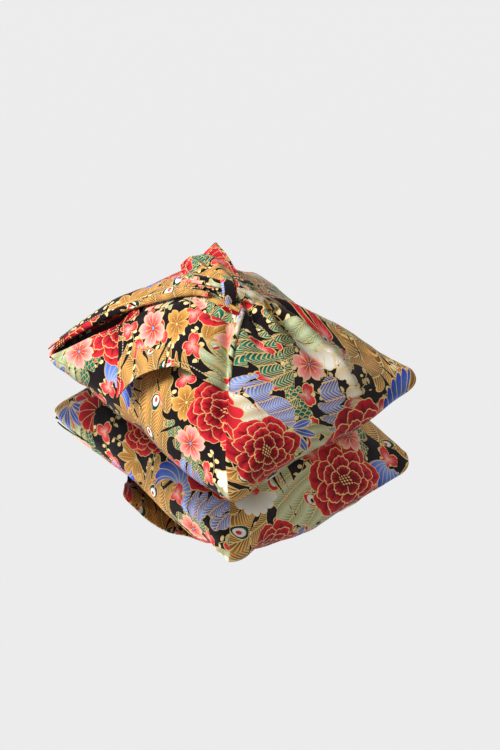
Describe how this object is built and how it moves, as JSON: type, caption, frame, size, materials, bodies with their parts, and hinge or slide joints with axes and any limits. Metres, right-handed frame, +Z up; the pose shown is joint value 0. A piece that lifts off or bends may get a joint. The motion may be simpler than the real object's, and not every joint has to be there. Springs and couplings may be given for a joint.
{
  "type": "furoshiki wrap",
  "caption": "Square patterned cloth folded round a soft bundle and knotted on top, with loose ends and an arched loose hem.",
  "frame": {"origin": "centre of the bundle's box on the surface it rests on", "axes": "+X along the bundle's long side, towards a side whose corner of cloth is knotted; -Y towards the loose arched hem; +Z up"},
  "size_m": [0.2947, 0.2441, 0.1479],
  "materials": {
    "fabric": "printed cotton with fine metallic outlines"
  },
  "bodies": {
    "root": {"furoshiki_wrap": "fabric"}
  },
  "joints": []
}
